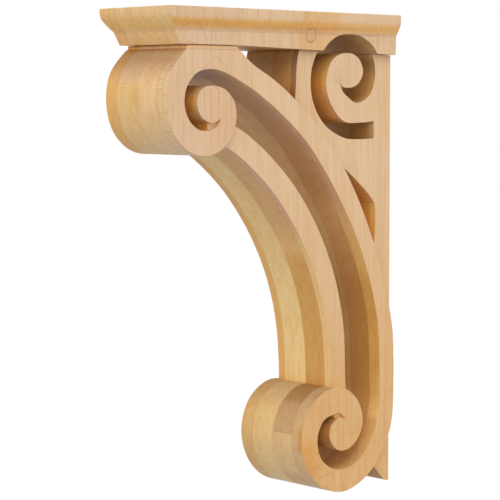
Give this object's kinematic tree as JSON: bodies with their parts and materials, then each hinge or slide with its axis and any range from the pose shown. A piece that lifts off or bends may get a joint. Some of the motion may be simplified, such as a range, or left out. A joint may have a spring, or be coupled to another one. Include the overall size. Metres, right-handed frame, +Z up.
{
  "type": "corbel bracket",
  "caption": "Wooden corbel bracket with a moulded cap over an openwork scroll: a large front volute, a curved strap and band, a small foot volute and a curl beside the wall.",
  "frame": {"origin": "centre of the width on the flat back face, halfway up the bracket", "axes": "+Z up, -Y out from the wall towards the front volute, +X across to the bracket's right side as seen facing +Y"},
  "size_m": [0.0762, 0.2286, 0.3556],
  "materials": {
    "scroll_body": "sanded bare maple, glued up from four boards",
    "cap": "sanded bare maple",
    "plug_right": "sanded bare maple",
    "plug_left": "sanded bare maple"
  },
  "bodies": {
    "root": {"scroll_body": "scroll_body", "cap": "cap", "plug_right": "plug_right", "plug_left": "plug_left"}
  },
  "joints": []
}
